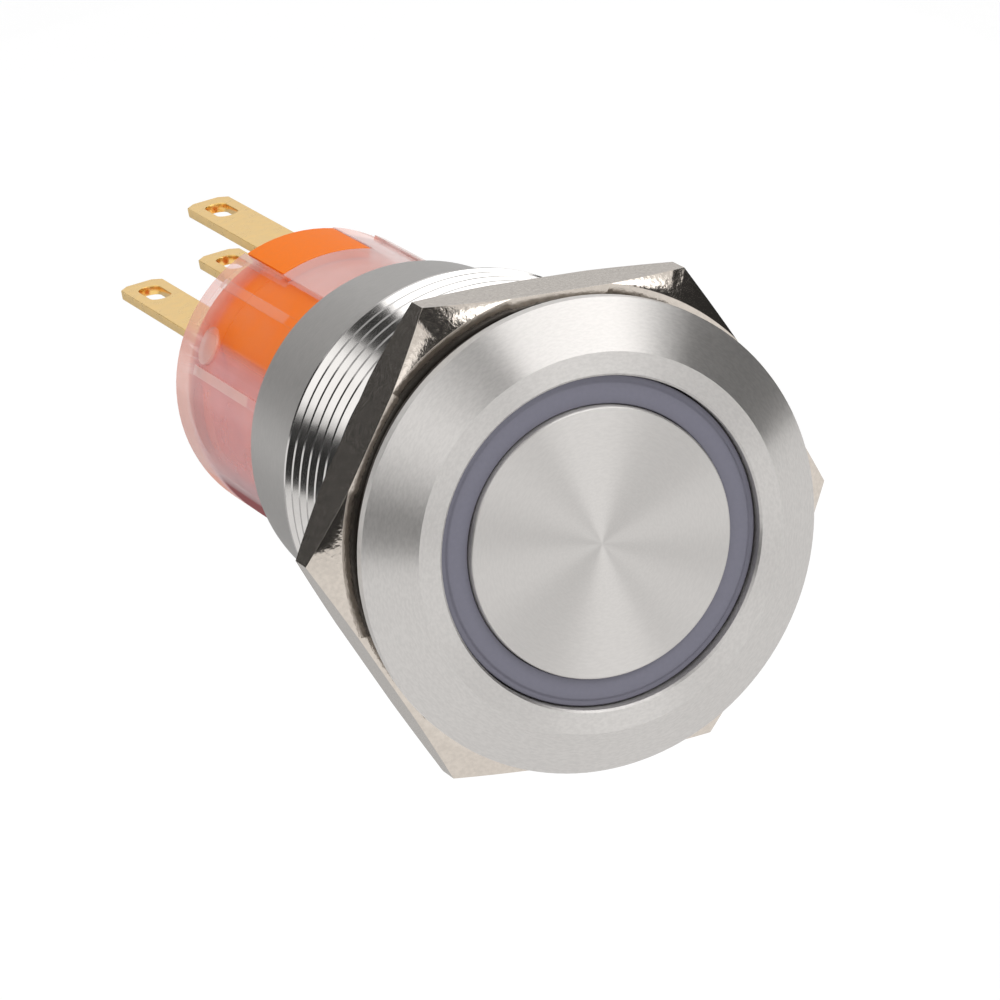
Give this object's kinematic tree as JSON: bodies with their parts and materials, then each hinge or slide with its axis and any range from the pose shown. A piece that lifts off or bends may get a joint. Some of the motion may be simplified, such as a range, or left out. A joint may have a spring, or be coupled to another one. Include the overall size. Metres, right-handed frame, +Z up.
{
  "type": "illuminated push button",
  "caption": "Ring-lit momentary push button with a bevelled round metal head, threaded barrel, gasket, hexagon nut, clear rear cover over an orange contact block, and eyed solder tabs.",
  "frame": {"origin": "on the button's axis, in the plane of the underside of the head, which the gasket seals against", "axes": "+Y runs backwards along the axis, from the head to the solder tabs, and is the way the button is pressed; +Z is up, through the changeover tabs; +X is to the right seen from the front"},
  "size_m": [0.0252, 0.0497, 0.0236],
  "materials": {
    "stainless_steel": "turned and brushed",
    "disc_steel": "fine turned",
    "black_rubber": "matte",
    "nickel_plate": "polished nickel plate",
    "diffusing_plastic": "matte, diffusing",
    "white_nylon": "satin",
    "spring_steel": "bright drawn",
    "board_green": "solder mask",
    "lamp_chip": "clear cap",
    "black_ceramic": "matte",
    "orange_plastic": "moulded, satin",
    "clear_plastic": "clear, slightly milky",
    "tinned_brass": "bright plate",
    "contact_silver": "bright",
    "spring_bronze": "bright rolled"
  },
  "bodies": {
    "switch_body": {"housing": "stainless_steel", "panel_gasket": "black_rubber", "clamp_nut": "nickel_plate", "return_spring": "spring_steel", "led_board": "board_green", "leds": "lamp_chip", "lamp_resistor": "black_ceramic", "contact_block": "orange_plastic", "terminal_base": "orange_plastic", "clear_cover": "clear_plastic", "slider_spring": "spring_steel", "terminal_common": "tinned_brass", "terminal_normally_open": "tinned_brass", "terminal_normally_closed": "tinned_brass", "terminal_lamp_plus": "tinned_brass", "terminal_lamp_minus": "tinned_brass", "fixed_contacts": "contact_silver"},
    "button": {"button_disc": "disc_steel", "light_ring": "diffusing_plastic", "plunger": "white_nylon", "retaining_clip": "spring_steel", "slider": "white_nylon"},
    "contact_arm": {"contact_blade": "spring_bronze", "moving_contact": "contact_silver"}
  },
  "joints": [
    {"name": "button_press", "type": "slide", "parent": "switch_body", "child": "button", "axis": [0, 1, 0], "range_m": [0, 0.0025], "stiffness_N_per_m": 1000, "springref_m": -0.002, "deforming": ["return_spring", "slider_spring"]},
    {"name": "contact_rock", "type": "hinge", "parent": "switch_body", "child": "contact_arm", "pos_m": [0, 0.02995, 0.0035], "axis": [1, 0, 0], "range_deg": [0, 3.58]}
  ],
  "couplings": [
    {"joint": "contact_rock", "follows": "button_press", "rad_per_m": 24.98}
  ]
}
